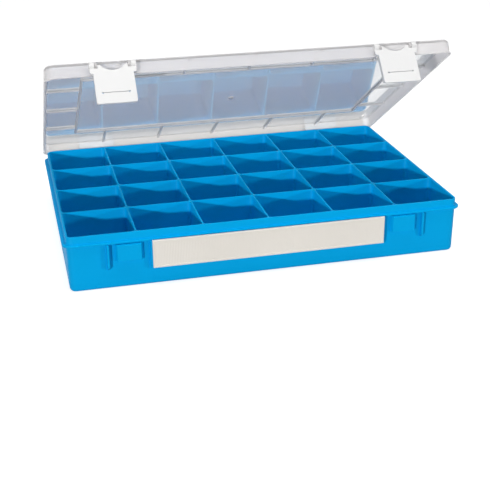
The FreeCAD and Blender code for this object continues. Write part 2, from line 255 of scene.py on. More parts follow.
@dataclass(frozen=True)
class CornerRing:
    """Stations round a rectangle: an arc at each corner, and one station on each side beyond it.

    A station is corner - sign * radius + direction * radius + step * beyond.
    So rings of any size match.
    """

    arc_steps: int = 6

    @property
    def signs(self) -> Array:
        """Signs of X and Y at the four corners, counter-clockwise."""
        return np.array([[1, 1], [-1, 1], [-1, -1], [1, -1]], float)

    @property
    def directions(self) -> Array:
        """Outward unit vectors of the stations, as corners by stations by two."""
        turn = np.concatenate([[0], np.linspace(0, 90, self.arc_steps + 1), [90]])
        angles = np.radians(90 * np.arange(4)[:, None] + turn)
        return np.round(np.stack([np.cos(angles), np.sin(angles)], axis=-1), DIRECTION_DIGITS)

    @property
    def steps(self) -> Array:
        """Unit steps along the sides, for the stations before and after each arc."""
        facing = self.directions
        tangents = np.stack([-facing[..., 1], facing[..., 0]], axis=-1)
        weights = np.zeros(facing.shape[1])
        weights[0], weights[-1] = -1, 1
        return tangents * weights[:, None]

    def outline(self, low: Array, high: Array, radius: Array | float, beyond: float = 0.0) -> Array:
        """Stations round the rectangle from low to high.

        Args:
            low: Lowest X and Y.
            high: Highest X and Y.
            radius: One radius, or one for each corner.
            beyond: How far past its arc's ends each corner's side stations stand.

        Returns:
            Points as stations by two.
        """
        radii = np.broadcast_to(np.asarray(radius, float), (4,))[:, None]
        centres = np.where(self.signs > 0, high, low) - self.signs * radii
        points = centres[:, None] + self.directions * radii[..., None] + self.steps * beyond
        return points.reshape(-1, 2)


def border_loop(grid: Array) -> Array:
    """The border of a grid as one loop, in the order of its first row."""
    return np.concatenate([grid[0], grid[1:, -1], grid[-1, -2::-1], grid[-2:0:-1, 0]])


def at_height(outline: Array, z: float | Array) -> Array:
    """The stations of an outline with a height, or a height for each."""
    return np.column_stack([outline, np.broadcast_to(z, len(outline))])


def swept(path: Array, outward: Array, profile: Array) -> Array:
    """A profile carried along a path: rows of X and Y offsets, or one for both, and a height."""
    skin = np.empty((len(profile), len(path), 3))
    skin[..., :2] = path + outward * profile[:, None, :-1]
    skin[..., 2] = profile[:, None, -1]
    return skin


@dataclass
class Tray:
    """The tray with its compartments, catches, guide ribs, strap keepers and hinge brackets."""

    finish: Material
    width: float = 338.0
    depth: float = 226.0
    height: float = 49.0
    columns: int = 6
    rows: int = 4
    wall: float = 1.8
    divider: float = 1.4
    floor: float = 1.8
    divider_drop: float = 0.5
    wall_draft_deg: float = 0.6
    pocket_draft_deg: float = 0.8
    corner_radius: float = 6.0
    base_radius: float = 3.0
    base_steps: int = 6
    pocket_radius: float = 3.5
    pocket_floor_radius: float = 1.5
    lip_radius: float = 0.42
    rim_sweep: float = 3.0
    side_station: float = 4.0
    ledge_top: float = 42.3
    ledge_bottom: float = 40.3
    ledge_reach_x: float = 3.2
    ledge_reach_y: float = 2.2
    ledge_edge: float = 0.6
    clip_offset: float = 118.8
    fitting_sunk: float = 0.4
    broad_edge: float = 0.35
    fine_edge: float = 0.25
    catch_foot_half: float = 12.45
    catch_face_half: float = 9.75
    catch_low: float = 25.6
    catch_face_top: float = 39.5
    catch_reach: float = 4.2
    guide_inner: float = 16.5
    guide_outer: float = 18.3
    guide_length: float = 24.0
    guide_slope: float = 4.2
    keeper_foot: Values = (77.0, 101.5, 16.3, 40.3)
    keeper_window: Values = (80.2, 98.3, 25.2, 36.8)
    keeper_track: Values = (79.0, 99.5, 24.0, 38.0)
    keeper_face: float = 116.6
    keeper_window_back: float = 115.4
    keeper_track_back: float = 113.2
    hinge_y: float = 118.1
    hinge_z: float = 39.5
    bracket_low: float = 30.8
    bracket_radius: float = 2.7
    bracket_steps: int = 18
    bracket_starts: Pair = (103.8, 130.8)
    bracket_width: float = 3.0
    bar_radius: float = 1.5
    bar_sides: int = 24
    ring: CornerRing = CornerRing()

    @property
    def pitch(self) -> Array:
        """Distance from one compartment to the next along X and Y."""
        inside = np.array([self.width, self.depth]) - 2 * self.wall + self.divider
        return inside / np.array([self.columns, self.rows])

    @property
    def rim(self) -> Array:
        """Half size of the line along the middle of the rim."""
        return np.array([self.width, self.depth]) / 2 - self.wall / 2

    @property
    def wall_root(self) -> float:
        """Depth at which fittings start, inside the wall."""
        return self.depth / 2 - self.wall + self.fitting_sunk

    def lines(self, axis: int) -> Array:
        """Middle lines of the dividers across an axis: whole pitches from the middle."""
        count = (self.columns, self.rows)[axis]
        return (np.arange(1, count) - count / 2) * self.pitch[axis]

    def _top(self, xy: Array) -> Array:
        """Height of the divider tops, swept up to the rim: rim - drop * smoothstep(gap)."""
        inner = np.array([self.width, self.depth]) / 2 - self.wall
        gap = np.clip((inner - np.abs(xy)).min(axis=-1) / self.rim_sweep, 0, 1)
        return self.height - self.divider_drop * gap * gap * (3 - 2 * gap)

    def _compartment(self, shell: Shell, column: int, row: int) -> None:
        """Adds one compartment: rings from the divider tops over a lip, down the wall to the floor.

        Ring by ring the outline is drawn in by the lip's arc, the wall's draft and the floor's arc.
        """
        counts = np.array([self.columns, self.rows])
        number = np.array([column, row])
        centre = (number - (counts - 1) / 2) * self.pitch
        half = (self.pitch - self.divider) / 2
        low = np.where(number == 0, -self.rim, centre - self.pitch / 2)
        high = np.where(number == counts - 1, self.rim, centre + self.pitch / 2)
        at_end = np.where(self.ring.signs > 0, number == counts - 1, number == 0).all(axis=1)
        radii = np.where(at_end, self.corner_radius - self.wall / 2, 0.0)
        border = self.ring.outline(low, high, radii, self.side_station)
        loops = [at_height(border, self._top(border))]
        cos, sin = quarter(0, 90)
        for out, drop in zip(self.lip_radius * (1 - sin), self.lip_radius * (1 - cos)):
            outline = self._pocket(centre, half + out, out)
            loops.append(at_height(outline, self._top(outline) - drop))
        lean = math.tan(math.radians(self.pocket_draft_deg))
        start = -(self.height - self.floor - self.pocket_floor_radius) * lean
        for out, z in zip(start - self.pocket_floor_radius * (1 - cos),
                          self.floor + self.pocket_floor_radius * (1 - sin)):
            loops.append(at_height(self._pocket(centre, half + out, out), z))
        shell.patch(np.stack(loops), closed=True)
        shell.cap(loops[-1])

    def _pocket(self, centre: Array, half: Array, out: float) -> Array:
        """Outline of a pocket whose corners grow with its offset."""
        radius = self.pocket_radius + out
        return self.ring.outline(centre - half, centre + half, radius, self.side_station)

    def _rim_path(self) -> tuple[Array, Array]:
        """Stations along the rim that match the compartments', and their outward directions."""
        radius = self.corner_radius - self.wall / 2
        corners = self.ring.outline(-self.rim, self.rim, radius, self.side_station)
        corners = corners.reshape(4, -1, 2)
        facing = self.ring.directions
        points, outward = [], []
        for corner in range(4):
            axis = corner % 2
            marks = self.lines(axis)[:, None] + self.side_station * np.array([-1, 0, 1])
            marks = np.sort(marks.ravel())[:: 1 if corner > 1 else -1]
            side = np.empty((len(marks), 2))
            side[:, axis] = marks
            side[:, 1 - axis] = corners[corner, -1, 1 - axis]
            points += [corners[corner], side]
            outward += [facing[corner], np.broadcast_to(facing[corner, -1], side.shape)]
        return np.concatenate(points), np.concatenate(outward)

    def _skin_profile(self) -> Array:
        """Outer profile from the rim to the base: rows of offsets along X and Y, and height."""
        lean = math.tan(math.radians(self.wall_draft_deg))
        half = self.wall / 2

        def wall_at(z: float) -> float:
            """Offset of the leaning wall's outside at a height."""
            return half - (self.height - z) * lean

        lip, edge = self.lip_radius, self.ledge_edge
        rows: list[Triple] = [(0.0, 0.0, self.height)]
        rows += [(o, o, z) for o, z in arc((half - lip, self.height - lip), lip, 90, 0)]
        foot = wall_at(self.ledge_top)
        rows += [(o, o, z) for o, z in arc((foot + edge, self.ledge_top + edge), edge, 180, 270)]
        reach_x, reach_y = half + self.ledge_reach_x - edge, half + self.ledge_reach_y - edge
        turns = ((self.ledge_top - edge, 90, 0), (self.ledge_bottom + edge, 0, -90))
        for centre_z, start, end in turns:
            rows += [(reach_x + o, reach_y + o, z) for o, z in arc((0, centre_z), edge, start, end)]
        rows.append((wall_at(self.ledge_bottom),) * 2 + (self.ledge_bottom,))
        round_base = self.base_radius
        centre_out = wall_at(round_base) - round_base
        base = arc((centre_out, round_base), round_base, 0, -90, self.base_steps)
        rows += [(o, o, z) for o, z in base]
        return np.array(rows)

    def build_shell(self) -> Object:
        """The whole tray shell: every compartment, and the outer profile carried along the rim."""
        shell = Shell()
        for column in range(self.columns):
            for row in range(self.rows):
                self._compartment(shell, column, row)
        skin = swept(*self._rim_path(), self._skin_profile())
        shell.patch(skin, closed=True)
        shell.cap(skin[-1])
        return shell.make("tray_shell")

    def build_catch(self, side: Side) -> Object:
        """A raised catch plate: a loft from a wide foot in the wall to a narrower face."""
        mid, low = self.clip_offset, self.catch_low
        foot = (mid - self.catch_foot_half, mid + self.catch_foot_half, low, self.ledge_bottom)
        face = (mid - self.catch_face_half, mid + self.catch_face_half, low, self.catch_face_top)
        shell = Shell()
        shell.stepped([(foot, self.wall_root), (face, self.depth / 2 + self.catch_reach)])
        return self._fitting(shell, "catch", side, self.broad_edge)

    def build_guide(self, side: Side) -> Object:
        """The upright rib outside a latch, a prism with a sloped lower end."""
        front, low = self.depth / 2 + self.catch_reach, self.ledge_bottom - self.guide_length
        outline = np.array([(-self.wall_root, self.ledge_bottom), (-front, self.ledge_bottom),
                            (-front, low + self.guide_slope), (-self.wall_root, low)])
        shell = Shell()
        offset = self.clip_offset
        shell.prism(outline, offset + self.guide_inner, offset + self.guide_outer)
        return self._fitting(shell, "guide", side, self.broad_edge)

    def build_keeper(self, side: Side) -> Object:
        """A strap keeper: steps from foot to face, in through the window and out to the track."""
        foot, window, track = self.keeper_foot, self.keeper_window, self.keeper_track
        shell = Shell()
        shell.stepped([(foot, self.wall_root), (foot, self.keeper_face), (window, self.keeper_face),
                       (window, self.keeper_window_back), (track, self.keeper_window_back),
                       (track, self.keeper_track_back)])
        return self._fitting(shell, "strap_keeper", side, self.fine_edge)

    def build_hinge_bracket(self, side: Side) -> Object:
        """Two gusseted lugs with round ends, prisms along X, and the hinge bar between them."""
        axis = (self.hinge_y, self.hinge_z)
        root = [(self.wall_root, self.bracket_low), (self.wall_root, self.hinge_z)]
        nose = arc(axis, self.bracket_radius, 180, -90, self.bracket_steps)
        outline = np.concatenate([root, nose])
        shell = Shell()
        for start in self.bracket_starts:
            shell.prism(outline, start, start + self.bracket_width)
        bar_low, bar_high = (start + self.bracket_width / 2 for start in self.bracket_starts)
        shell.prism(circle(axis, self.bar_radius, self.bar_sides), bar_low, bar_high)
        return self._fitting(shell, "hinge_bracket", side, self.fine_edge)

    def _fitting(self, shell: Shell, kind: str, side: Side, edge: float) -> Object:
        """Makes a fitting, worked out for the right, on either side, with softened edges."""
        shell.take(side)
        return soften(shell.make(f"tray_{kind}_{side.word}"), edge)

    def dress(self) -> None:
        """Builds and places every piece of the tray."""
        shell = place(self.build_shell(), "tray", Slot.TRAY, self.finish)
        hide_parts("tray")
        builders = (self.build_catch, self.build_guide, self.build_keeper, self.build_hinge_bracket)
        for side in Side:
            for build in builders:
                place(build(side), "tray", Slot.TRAY, self.finish)


@dataclass
class Lid:
    """The clear lid: a ribbed panel, a bead, a skirt, a slot, a gate mark, lugs and hinge tabs."""

    finishes: list[Material]
    tab_finish: Material
    tray: Tray
    width: float = 344.4
    depth: float = 230.4
    top: float = 54.2
    panel: float = 1.8
    skirt: float = 1.6
    skirt_bottom: float = 42.7
    corner_radius: float = 8.2
    edge_radius: float = 1.4
    edge_steps: int = 6
    foot_reach: float = 0.6
    foot_height: float = 1.4
    foot_edge: float = 0.3
    bead_inset: float = 1.2
    bead_width: float = 2.4
    bead_height: float = 0.7
    rib_width: float = 2.0
    rib_depth: float = 1.6
    rib_slope: float = 0.15
    frame_side: float = 31.0
    frame_front: float = 34.0
    frame_rear: float = 43.0
    slot_centre: Pair = (162.0, 99.8)
    slot_size: Pair = (3.2, 12.0)
    slot_radius: float = 1.5
    slot_border: Pair = (1.9, 6.8)
    slot_edge: float = 0.2
    corner_steps: int = 6
    corner_clear: float = 1.0
    slot_arc_steps: int = 4
    crease_deg: float = 25.0
    rear_facing: float = 0.9
    rib_start: float = 0.01
    open_deg: float = 33.0
    pivot_y: float = 118.4
    pivot_z: float = 50.0
    lug_spacing: float = 26.4
    lug_width: float = 2.0
    lug_radius: float = 2.2
    lug_steps: int = 10
    pin_radius: float = 1.3
    pin_sides: int = 20
    pin_half: float = 17.0
    lug_edge: float = 0.2
    tab_width: float = 35.0
    tab_low: float = 43.0
    tab_high: float = 52.3
    tab_proud: float = 0.3
    tab_edge: float = 0.1
    gate_radii: Values = (2.6, 2.6, 2.35, 1.3, 0.9, 0.7, 0.3)
    gate_depths: Values = (-0.1, 0.35, 0.5, 0.5, 0.42, 0.25, 0.2)
    gate_sides: int = 24

    @property
    def inside(self) -> Array:
        """Half size of the space inside the skirt."""
        return np.array([self.width, self.depth]) / 2 - self.skirt

    @property
    def radius(self) -> float:
        """Corner radius of the space inside the skirt."""
        return self.corner_radius - self.skirt

    @property
    def panel_under(self) -> float:
        """Height of the panel's underside."""
        return self.top - self.panel

    def _ribs(self) -> Array:
        """Every rib as a row of lowest and highest X, lowest and highest Y, in the closed lid."""
        half, far = self.rib_width / 2, 2 * self.width
        right = self.width / 2 - self.frame_side
        front, rear = -self.depth / 2 + self.frame_front, self.depth / 2 - self.frame_rear
        rows = [(-right - half, right + half, y - half, y + half) for y in (front, rear)]
        rows += [(x - half, x + half, front - half, rear + half) for x in (-right, right)]
        for x in self.tray.lines(0):
            rows += [(x - half, x + half, -far, front), (x - half, x + half, rear, far)]
        for y in self.tray.lines(1):
            rows += [(-far, -right, y - half, y + half), (right, far, y - half, y + half)]
        return np.array(rows)

    def _stations(self, axis: int) -> Array:
        """Grid lines across an axis: rib edges, the slot's border and steps in round corners."""
        core = self.inside[axis] - self.radius
        edges = self._ribs()[:, 2 * axis:2 * axis + 2].ravel()
        edges = edges[np.abs(edges) < core - self.corner_clear]
        edges = (edges[:, None] + self.rib_slope * np.array([-1, 1])).ravel()
        slot = self.slot_centre[axis] + self.slot_border[axis] * np.array([-1, 1])
        corner = core + self.radius * np.linspace(0, 1, self.corner_steps + 1)
        return np.unique(np.round(np.concatenate([edges, slot, corner, -corner]), STATION_DIGITS))

    def _spread(self, x: Array, y: Array, grow: float) -> tuple[Array, Array]:
        """Carries a square-cornered grid onto the round-cornered panel, grown outwards.

        Past the corner's centre a point goes to the centre plus radius + grow times
        (u sqrt(1 - v v / 2), v sqrt(1 - u u / 2)), which maps the unit square onto the unit disc.
        u and v are the shares of the radius along X and Y.

        Returns:
            The points as rows by columns by two, and their outward vectors, one long on the border.
        """
        square = np.stack([x, y], axis=-1)
        core = self.inside - self.radius
        share = np.clip((np.abs(square) - core) / self.radius, 0, 1)
        disc = share * np.sqrt(1 - share[..., ::-1] ** 2 / 2) * np.sign(square)
        return np.clip(square, -core, core) + (self.radius + grow) * disc, disc

    def _rib_rise(self, x: Array, y: Array) -> Array:
        """Share of the rib's depth at each point: one on a rib, falling off over its slopes."""
        x_low, x_high, y_low, y_high = self._ribs().T[..., None, None]
        slope = self.rib_slope
        reach = np.minimum(np.minimum(x - x_low, x_high - x), np.minimum(y - y_low, y_high - y))
        return np.clip((reach + slope) / (2 * slope), 0, 1).max(axis=0)

    def _edge_profile(self) -> Array:
        """Skirt profile from the panel's underside round the foot, up and over the bead."""
        foot, low = self.foot_edge, self.skirt_bottom
        outer, reach = self.skirt, self.skirt + self.foot_reach
        bead_out = self.skirt - self.bead_inset
        bead_in = bead_out - self.bead_width
        crest = self.top + self.bead_height
        edge = self.edge_radius
        centre = outer - edge
        meet = math.degrees(math.acos((bead_out - centre) / edge))
        rows = [arc((foot, low + foot), foot, 180, 270),
                arc((reach - foot, low + foot), foot, -90, 0),
                arc((reach - foot, low + self.foot_height - foot), foot, 0, 90),
                arc((outer + foot, low + self.foot_height + foot), foot, 270, 180),
                arc((centre, self.top - edge), edge, 0, meet, self.edge_steps),
                arc((bead_out - foot, crest - foot), foot, 0, 90),
                arc((bead_in + foot, crest - foot), foot, 90, 180),
                np.array([(bead_in, self.top)])]
        return np.concatenate(rows)

    def _hanging_slot(self, shell: Shell) -> None:
        """Adds the slot through the panel: rings from the grid's hole, up its wall and out."""
        ring = CornerRing(self.slot_arc_steps)
        centre, half = np.array(self.slot_centre), np.array(self.slot_size) / 2
        border = np.array(self.slot_border)
        under, edge = self.panel_under, self.slot_edge
        steps = [(border, 0.0, under), (half + edge, self.slot_radius + edge, under),
                 (half, self.slot_radius, under + edge), (half, self.slot_radius, self.top - edge),
                 (half + edge, self.slot_radius + edge, self.top), (border, 0.0, self.top)]
        loops = [at_height(ring.outline(centre - size, centre + size, radius), z)
                 for size, radius, z in steps]
        shell.patch(np.stack(loops), closed=True)

    def build_shell(self) -> Object:
        """The lid, worked out closed and swung open about the hinge bars."""
        columns, rows = self._stations(0), self._stations(1)
        x, y = np.meshgrid(columns, rows)
        under_xy, outward = self._spread(x, y, 0.0)
        rise = self._rib_rise(x, y)
        under = np.dstack([under_xy, self.panel_under - self.rib_depth * rise])
        corners = np.stack([rise[:-1, :-1], rise[:-1, 1:], rise[1:, :-1], rise[1:, 1:]])
        on_rib = corners.max(axis=0) > self.rib_start
        profile = self._edge_profile()
        over_xy, _ = self._spread(x, y, profile[-1, 0])
        over = np.dstack([over_xy, np.full(x.shape, self.top)])
        middle_x, middle_y = (columns[1:] + columns[:-1]) / 2, (rows[1:] + rows[:-1]) / 2
        across = np.abs(middle_x - self.slot_centre[0]) < self.slot_border[0]
        along = np.abs(middle_y - self.slot_centre[1]) < self.slot_border[1]
        in_slot = np.logical_and(across[None], along[:, None])
        shell = Shell()
        shell.patch(under, keep=~in_slot, finish=np.where(on_rib, LidFinish.RIB, LidFinish.PANEL))
        shell.patch(over, keep=~in_slot)
        self._hanging_slot(shell)
        start, facing = border_loop(under), border_loop(outward)
        skirt = swept(start[:, :2], facing, profile)
        # Faces of the rear skirt take the darker, warmer copy of the skirt plastic, which is
        # painted shade.
        at_rear = np.minimum(facing[:, 1], np.roll(facing[:, 1], -1)) > self.rear_facing
        shell.patch(np.concatenate([start[None], skirt]), closed=True,
                    finish=np.where(at_rear, LidFinish.REAR, LidFinish.SKIRT))
        return self._opened(shell, "lid_shell", self.crease_deg)

    def _opened(self, shell: Shell, name: str, crease_deg: float = CREASE_DEG) -> Object:
        """Makes a piece that was worked out closed, swung open about the hinge bars."""
        shell.swing(-self.open_deg, self.tray.hinge_y, self.tray.hinge_z)
        return shell.make(name, crease_deg)

    def build_lugs(self, side: Side, front: bool) -> Object:
        """The pair of pivot lugs of one clip, prisms with round ends, and their stub pins."""
        sign = -1 if front else 1
        offset = self.tray.clip_offset
        root = self.depth / 2 - self.skirt / 2
        low, high = self.pivot_z - self.lug_radius, self.pivot_z + self.lug_radius
        nose = arc((self.pivot_y, self.pivot_z), self.lug_radius, -90, 90, self.lug_steps)
        outline = np.concatenate([[(root, low)], nose, [(root, high)]]) * np.array([sign, 1])
        pin = circle((sign * self.pivot_y, self.pivot_z), self.pin_radius, self.pin_sides)
        shell = Shell()
        for hand in (-1, 1):
            middle = offset + hand * self.lug_spacing / 2
            shell.prism(outline, middle - self.lug_width / 2, middle + self.lug_width / 2)
            shell.prism(pin, middle, offset + hand * self.pin_half)
        shell.take(side)
        name = f"lid_{'front' if front else 'rear'}_lugs_{side.word}"
        return soften(self._opened(shell, name), self.lug_edge)

    def build_hinge_tab(self, side: Side) -> Object:
        """The inner tab of one hinge clip, a thin plate that shows inside the rear skirt."""
        inside = self.depth / 2 - self.skirt
        near, far = inside - self.tab_proud, inside + self.skirt / 2
        low, high = self.tab_low, self.tab_high
        outline = np.array([(near, low), (far, low), (far, high), (near, high)])
        offset, half = self.tray.clip_offset, self.tab_width / 2
        shell = Shell()
        shell.prism(outline, offset - half, offset + half)
        shell.take(side)
        return soften(self._opened(shell, f"hinge_tab_{side.word}"), self.tab_edge)

    def build_gate_mark(self) -> Object:
        """The moulding mark under the panel's middle: a low disc turned about the panel's axis."""
        loops = [at_height(circle((0.0, 0.0), radius, self.gate_sides), self.panel_under - depth)
                 for radius, depth in zip(self.gate_radii, self.gate_depths)]
        shell = Shell()
        shell.loft(np.stack(loops))
        return self._opened(shell, "lid_gate_mark")

    def dress(self) -> None:
        """Builds and places every piece of the lid."""
        shell = place(self.build_shell(), "lid", Slot.LID, *self.finishes)
        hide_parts("lid")
        milky = self.finishes[LidFinish.SKIRT]
        place(self.build_gate_mark(), "lid", Slot.LID, milky)
        for side in Side:
            for front in (True, False):
                place(self.build_lugs(side, front), "lid", Slot.LID, milky)
            place(self.build_hinge_tab(side), "lid", Slot.CLIP, self.tab_finish)


@dataclass
class Clips:
    """The front latches and the rear hinge leaves: their solids' forms with rounded edges."""

    finish: Material
    edge: float = 0.22
    flat_deg: float = 1.0
    merge_mm: float = 1e-3
    round_over_deg: float = 40.0

    def build_clip(self, node: str) -> Object:
        """A copy of a node's solid, merged, with its flat faces joined and its edges rounded."""
        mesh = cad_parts[node].data.copy()
        mesh.materials.clear()
        edit = bmesh.new()
        edit.from_mesh(mesh)
        bmesh.ops.remove_doubles(edit, verts=edit.verts, dist=self.merge_mm * MM)
        bmesh.ops.dissolve_limit(edit, angle_limit=math.radians(self.flat_deg),
                                 verts=edit.verts, edges=edit.edges)
        edit.to_mesh(mesh)
        edit.free()
        return soften(finished_piece(mesh, f"{node}_clip"), self.edge, self.round_over_deg)

    def dress(self) -> None:
        """Builds and places both latches and both hinge leaves."""
        for side in Side:
            latch, leaf = f"latch_{side.word}", f"hinge_leaf_{side.word}"
            for node, body in ((latch, latch), (leaf, "lid")):
                piece = place(self.build_clip(node), body, Slot.CLIP, self.finish)
                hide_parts(node)


@dataclass
class StrapHandle:
    """The strap handle: two halves of one flexible strip, and the feet in the tray's keepers."""

    finish: Material
    length: float = 200.0
    height: float = 24.2
    top: float = 41.7
    back: float = 116.8
    thickness: float = 2.0
    border: float = 1.5
    border_rise: float = 0.4
    border_slope: float = 0.3
    edge: float = 0.35
    line_pitch: float = 1.3
    line_depth: float = 0.1
    line_samples: int = 6
    inner_margin: float = 4.0
    inner_rows: int = 5
    crease_deg: float = 40.0
    foot_inner: float = 90.0

    def _face_rise(self, x: Array, z: Array) -> Array:
        """How far the front stands proud: a border round the rim, and fine upright lines inside it.

        The border is a step over its slope.
        The lines are line_depth * (1 - cos(2 pi x / pitch)) / 2.
        """
        rim = np.minimum(self.length / 2 - np.abs(x), self.height / 2 - np.abs(z))
        border = np.clip((self.border + self.border_slope - rim) / self.border_slope, 0, 1)
        lines = self.line_depth * (1 - np.cos(2 * np.pi * x / self.line_pitch)) / 2
        return border * self.border_rise + (1 - border) * lines

    def build_half(self, side: Side) -> Object:
        """One half of the strap, from the middle to its end: a front, a back and rounded edges.

        Front and back are grids over length and height.
        Each ring of the edge follows the faces' border.
        """
        count = int(round(self.length / 2 / self.line_pitch * self.line_samples))
        end, half = self.length / 2, self.height / 2
        marks = np.array([self.border, self.border + self.border_slope])
        stations = [np.linspace(0, end - marks[1], count), end - marks, [end]]
        x = np.unique(np.round(np.concatenate(stations), STATION_DIGITS))
        inner = half - self.inner_margin
        z = np.concatenate([[-half], -half + marks, np.linspace(-inner, inner, self.inner_rows),
                            half - marks[::-1], [half]])
        grid_x, grid_z = np.meshgrid(x, z)
        rise = self._face_rise(grid_x, grid_z)
        inset = np.where(grid_x >= end, self.edge, 0.0)
        flat_x = grid_x - inset
        flat_z = np.clip(grid_z, -half + self.edge, half - self.edge)
        middle = self.top - half
        front_y, rear_y = -(self.back + self.thickness + rise), np.full_like(rise, -self.back)
        layers = [np.dstack([x, y, z + middle]) for x, y, z in (
            (flat_x, front_y, flat_z), (grid_x, front_y + self.edge, grid_z),
            (grid_x, rear_y - self.edge, grid_z), (flat_x, rear_y, flat_z))]
        shell = Shell()
        shell.patch(layers[0])
        shell.patch(layers[-1])
        shell.patch(np.stack([border_loop(layer) for layer in layers]), closed=True)
        shell.take(side)
        return shell.make(f"handle_strap_{side.word}", self.crease_deg)

    def dress(self) -> None:
        """Builds both halves and dresses the feet."""
        for side in Side:
            half = self.build_half(side)
            half.data.materials.append(self.finish)
            foot = f"handle_shoe_{side.word}"
            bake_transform(half)
            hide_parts("handle_strap")
            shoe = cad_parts[foot]
            shoe.data.materials.clear()
            shoe.data.materials.append(self.finish)
            faces = len(half.data.polygons)
            log.info("%s: %d faces, from %s to handle_strap", half.name, faces, foot)


class Graph:
    """The node tree of a material or a world, with short ways to add and join nodes."""

    def __init__(self, owner: Material | World, output: str = "ShaderNodeOutputMaterial") -> None:
        """Starts the owner's tree with only its output node."""
        owner.use_nodes = True
        self.owner = owner
        self.tree = owner.node_tree
        self.tree.nodes.clear()
        self.output = self.add(output)

    def add(self, kind: str, **inputs: object) -> Node:
        """Adds a node and sets the given inputs, named with underscores for spaces."""
        node = self.tree.nodes.new(kind)
        for name, value in inputs.items():
            node.inputs[name.replace("_", " ")].default_value = value
        return node

    def join(self, source: NodeSocket, target: NodeSocket) -> None:
        """Links one socket to another."""
        self.tree.links.new(source, target)

    def surface(self, shader: Node) -> Material | World:
        """Makes a shader the owner's surface and returns the owner."""
        self.join(shader.outputs[0], self.output.inputs["Surface"])
        return self.owner

    def math(self, operation: str, first: NodeSocket, second: NodeSocket) -> NodeSocket:
        """A sum of the given kind on two values."""
        node = self.add("ShaderNodeMath")
        node.operation = operation
        self.join(first, node.inputs[0])
        self.join(second, node.inputs[1])
        return node.outputs[0]

    def seen_rays(self) -> NodeSocket:
        """One for rays from the camera, off a gloss or through a clear piece, zero for others."""
        rays = self.add("ShaderNodeLightPath").outputs
        mirrored = self.math("MAXIMUM", rays["Is Camera Ray"], rays["Is Glossy Ray"])
        return self.math("MAXIMUM", mirrored, rays["Is Transmission Ray"])

    def noise(self, per_metre: float, detail: float = 3.0) -> Node:
        """Noise on Object coordinates with the given number of cells to a metre."""
        place_node = self.add("ShaderNodeTexCoord")
        node = self.add("ShaderNodeTexNoise", Scale=per_metre, Detail=detail)
        self.join(place_node.outputs["Object"], node.inputs["Vector"])
        return node

    def span(self, source: NodeSocket, low: float, high: float,
             reach: Pair = (0.0, 1.0)) -> NodeSocket:
        """A value over its reach carried onto the span from low to high."""
        node = self.add("ShaderNodeMapRange", From_Min=reach[0], From_Max=reach[1],
                        To_Min=low, To_Max=high)
        self.join(source, node.inputs["Value"])
        return node.outputs["Result"]

    def uneven(self, shader: Node, clouds: Node, mottle: Node, shades: tuple[Values, Values],
               roughness: Pair) -> None:
        """Gives a shader two shades in the clouds of one noise, and a roughness after another."""
        tint = self.add("ShaderNodeValToRGB")
        for stop, position, shade in zip(tint.color_ramp.elements, CLOUD_STOPS, shades):
            stop.position = position
            stop.color = (*shade, 1.0)
        self.join(clouds.outputs["Fac"], tint.inputs["Fac"])
        self.join(tint.outputs["Color"], shader.inputs["Base Color"])
        self.join(self.span(mottle.outputs["Fac"], *roughness), shader.inputs["Roughness"])

    def grain(self, shader: Node, per_metre: float, depth_mm: float, strength: float) -> None:
        """Gives a shader the fine bumps of a moulded surface."""
        bump = self.add("ShaderNodeBump", Strength=strength, Distance=depth_mm * MM)
        self.join(self.noise(per_metre).outputs["Fac"], bump.inputs["Height"])
        self.join(bump.outputs["Normal"], shader.inputs["Normal"])


@dataclass(frozen=True)
class MouldedPlastic:
    """An opaque moulded plastic: two close shades in clouds, a satin gloss and a fine grain."""

    name: str
    light: Triple
    dark: Triple
    roughness: Pair
    cloud_per_metre: float = 14.0
    cloud_detail: float = 4.0
    grain_per_metre: float = 2600.0
    grain_mm: float = 0.03
    grain_strength: float = 0.15
    subsurface: float = 0.0
    subsurface_mm: float = 1.0
    specular: float = 0.5
    refraction: float = 1.49
    mottle_share: float = 9.0

    def material(self) -> Material:
        """Builds the material."""
        graph = Graph(bpy.data.materials.new(self.name))
        shader = graph.add("ShaderNodeBsdfPrincipled", IOR=self.refraction,
                           Specular_IOR_Level=self.specular, Subsurface_Weight=self.subsurface,
                           Subsurface_Radius=(1.0, 1.0, 1.0),
                           Subsurface_Scale=self.subsurface_mm * MM)
        graph.uneven(shader, graph.noise(self.cloud_per_metre, self.cloud_detail),
                     graph.noise(self.cloud_per_metre * self.mottle_share),
                     (self.dark, self.light), self.roughness)
        graph.grain(shader, self.grain_per_metre, self.grain_mm, self.grain_strength)
        return graph.surface(shader)


@dataclass(frozen=True)
class ClearPlastic:
    """A clear or milky plastic that mirrors at low angles and lets lamplight through."""

    name: str
    tint: Triple
    through: float
    roughness: Pair = (0.34, 0.4)
    gloss: float = 0.0
    gloss_roughness: float = 0.1
    lamp_light: float = 0.7
    refraction: float = 1.49
    gloss_refraction: float = 1.6
    cloud_per_metre: float = 9.0
    cloud_shade: float = 0.97
    mottle_per_metre: float = 60.0

    def material(self) -> Material:
        """Builds the material."""
        graph = Graph(bpy.data.materials.new(self.name))
        shader = graph.add("ShaderNodeBsdfPrincipled", IOR=self.refraction,
                           Transmission_Weight=self.through, Coat_Weight=self.gloss,
                           Coat_Roughness=self.gloss_roughness, Coat_IOR=self.gloss_refraction)
        shade = tuple(self.cloud_shade * part for part in self.tint)
        graph.uneven(shader, graph.noise(self.cloud_per_metre), graph.noise(self.mottle_per_metre),
                     (shade, self.tint), self.roughness)
        lit = graph.add("ShaderNodeBsdfTransparent", Color=(self.lamp_light,) * 3 + (1.0,))
        rays = graph.add("ShaderNodeLightPath")
        both = graph.add("ShaderNodeMixShader")
        graph.join(rays.outputs["Is Shadow Ray"], both.inputs[0])
        graph.join(shader.outputs[0], both.inputs[1])
        graph.join(lit.outputs[0], both.inputs[2])
        return graph.surface(both)


